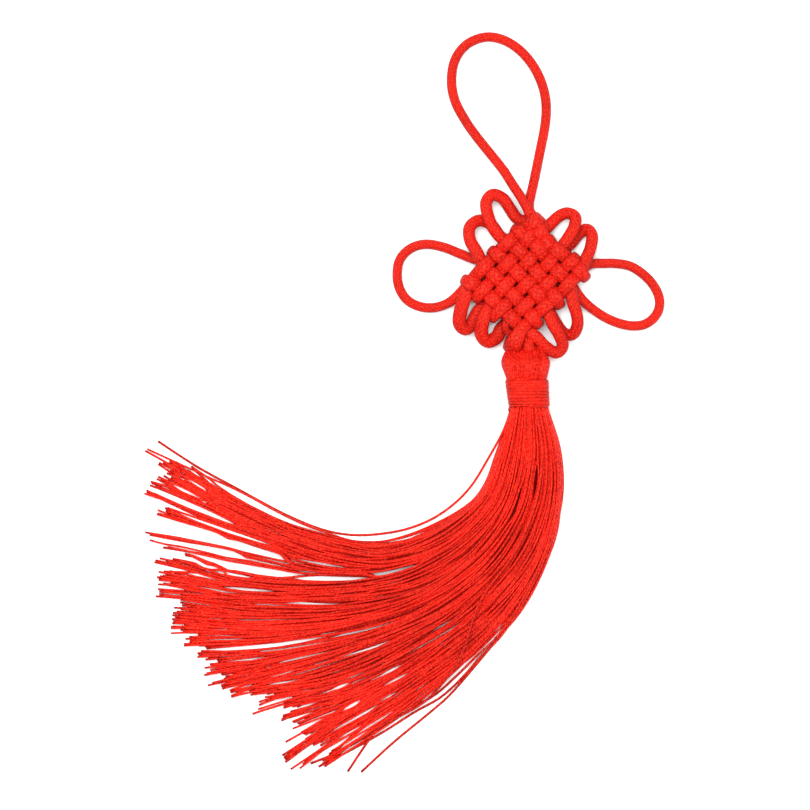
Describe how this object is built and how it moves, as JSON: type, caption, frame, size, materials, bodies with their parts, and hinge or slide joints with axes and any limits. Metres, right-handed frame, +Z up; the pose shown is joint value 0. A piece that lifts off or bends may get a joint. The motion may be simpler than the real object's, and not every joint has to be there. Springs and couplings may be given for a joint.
{
  "type": "chinese knot tassel",
  "caption": "Flat pan chang knot of red satin cord with a hanging loop, two ears and side loops, ending in a bound thread tassel that lies swept to one side.",
  "frame": {"origin": "centre of the lying ornament's outline, on the surface that it lies on", "axes": "+Z up off the surface, out of the knot's front face; +Y towards the hanging loop; the skirt sweeps to -X and -Y"},
  "size_m": [0.1351, 0.1922, 0.0095],
  "materials": {
    "satin_cord": "satin",
    "tassel_thread": "satin",
    "binding_thread": "satin"
  },
  "bodies": {
    "root": {"knot_cord": "satin_cord", "tassel": "tassel_thread", "neck_binding": "binding_thread"}
  },
  "joints": []
}
